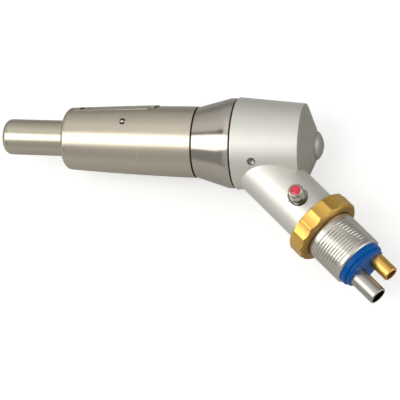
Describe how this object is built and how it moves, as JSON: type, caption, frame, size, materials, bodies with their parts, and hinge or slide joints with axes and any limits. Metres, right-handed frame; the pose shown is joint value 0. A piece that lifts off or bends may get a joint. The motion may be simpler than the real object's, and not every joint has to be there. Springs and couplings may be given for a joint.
{
  "type": "dental air motor",
  "caption": "Slow-speed air motor with a front drive spigot, catch lever, speed ring, angled neck with reversing button, gland nut and swivelling threaded hose connector.",
  "frame": {"origin": "centre of the body's front face, at the root of the front spigot", "axes": "+X along the main axis towards the rear cap, +Z square to the plane of the bend on the reversing button's side, and the neck leaves towards +X and -Y"},
  "size_m": [0.0919, 0.0458, 0.0204],
  "materials": {
    "body_steel": "satin, fine turned grain",
    "spigot_steel": "polished, turned",
    "lever_steel": "satin",
    "pin_steel": "bright",
    "bearing_steel": "polished",
    "spring_steel": "bright",
    "black_rubber": "matte",
    "ring_steel": "polished",
    "plate_steel": "ground",
    "rotor_steel": "ground",
    "vane_fibre": "matte laminate",
    "head_aluminium": "bead-blasted",
    "cap_steel": "satin",
    "sleeve_steel": "bright",
    "red_enamel": "gloss",
    "gold_anodised": "satin anodised",
    "connector_steel": "turned",
    "blue_rubber": "semi-gloss",
    "tube_steel": "polished",
    "gold_tube": "polished",
    "cage_polymer": "matte"
  },
  "bodies": {
    "housing": {"front_housing": "body_steel", "front_spigot": "spigot_steel", "front_bearing_retainer": "spring_steel", "lever_pin": "pin_steel", "lever_spring": "spring_steel", "front_seam_ring": "black_rubber", "rear_seam_ring": "black_rubber", "front_end_plate": "plate_steel", "cylinder_liner": "plate_steel", "rear_end_plate": "plate_steel", "cartridge_lock_ring": "plate_steel", "rear_housing": "head_aluminium", "rear_cap": "cap_steel", "head_set_screw": "pin_steel", "valve_sleeve": "sleeve_steel", "front_bearing_outer": "bearing_steel", "middle_bearing_outer": "bearing_steel", "rear_bearing_outer": "bearing_steel"},
    "rotor": {"rotor": "rotor_steel", "rotor_vanes": "vane_fibre", "drive_shaft": "rotor_steel", "drive_dog": "rotor_steel", "front_bearing_inner": "bearing_steel", "middle_bearing_inner": "bearing_steel", "rear_bearing_inner": "bearing_steel"},
    "front_ball_set": {"front_bearing_balls": "bearing_steel", "front_bearing_cage": "cage_polymer"},
    "middle_ball_set": {"middle_bearing_balls": "bearing_steel", "middle_bearing_cage": "cage_polymer"},
    "rear_ball_set": {"rear_bearing_balls": "bearing_steel", "rear_bearing_cage": "cage_polymer"},
    "lever": {"catch_lever": "lever_steel", "catch_ball": "bearing_steel"},
    "control_ring": {"control_ring": "ring_steel"},
    "reverse_valve": {"reverse_spool": "sleeve_steel", "reverse_button_inlay": "red_enamel", "spool_o_rings": "black_rubber"},
    "gland_nut": {"gland_nut": "gold_anodised"},
    "connector": {"hose_connector": "connector_steel", "connector_circlip": "spring_steel", "connector_o_ring": "black_rubber", "connector_gasket": "blue_rubber", "exhaust_tube": "tube_steel", "drive_air_tube": "gold_tube"}
  },
  "joints": [
    {"name": "rotor_spin", "type": "hinge", "parent": "housing", "child": "rotor", "pos_m": [0, 0, 0], "axis": [1, 0, 0], "continuous": true},
    {"name": "front_ball_spin", "type": "hinge", "parent": "housing", "child": "front_ball_set", "pos_m": [-0.0104, 0, 0], "axis": [1, 0, 0], "continuous": true},
    {"name": "middle_ball_spin", "type": "hinge", "parent": "housing", "child": "middle_ball_set", "pos_m": [0.024, 0, 0], "axis": [1, 0, 0], "continuous": true},
    {"name": "rear_ball_spin", "type": "hinge", "parent": "housing", "child": "rear_ball_set", "pos_m": [0.0452, 0, 0], "axis": [1, 0, 0], "continuous": true},
    {"name": "lever_press", "type": "hinge", "parent": "housing", "child": "lever", "pos_m": [0.0145, 0.00371, 0.0015], "axis": [0, 0.3746, -0.9272], "range_deg": [0, 5], "stiffness_Nm_per_rad": 0.2, "springref_deg": -5.73, "deforming": ["lever_spring"]},
    {"name": "ring_turn", "type": "hinge", "parent": "housing", "child": "control_ring", "pos_m": [0.035, 0, 0], "axis": [1, 0, 0], "range_deg": [-30, 30]},
    {"name": "reverse_slide", "type": "slide", "parent": "housing", "child": "reverse_valve", "axis": [0, 0, -1], "range_m": [0, 0.0034]},
    {"name": "gland_nut_turn", "type": "hinge", "parent": "housing", "child": "gland_nut", "pos_m": [0.06041, -0.019, 0], "axis": [0.7431, -0.6691, 0], "range_deg": [0, 30]},
    {"name": "connector_swivel", "type": "hinge", "parent": "housing", "child": "connector", "pos_m": [0.06531, -0.02342, 0], "axis": [0.7431, -0.6691, 0], "continuous": true}
  ],
  "couplings": [
    {"joint": "front_ball_spin", "follows": "rotor_spin", "ratio": 0.416},
    {"joint": "middle_ball_spin", "follows": "rotor_spin", "ratio": 0.4167},
    {"joint": "rear_ball_spin", "follows": "rotor_spin", "ratio": 0.4167}
  ]
}
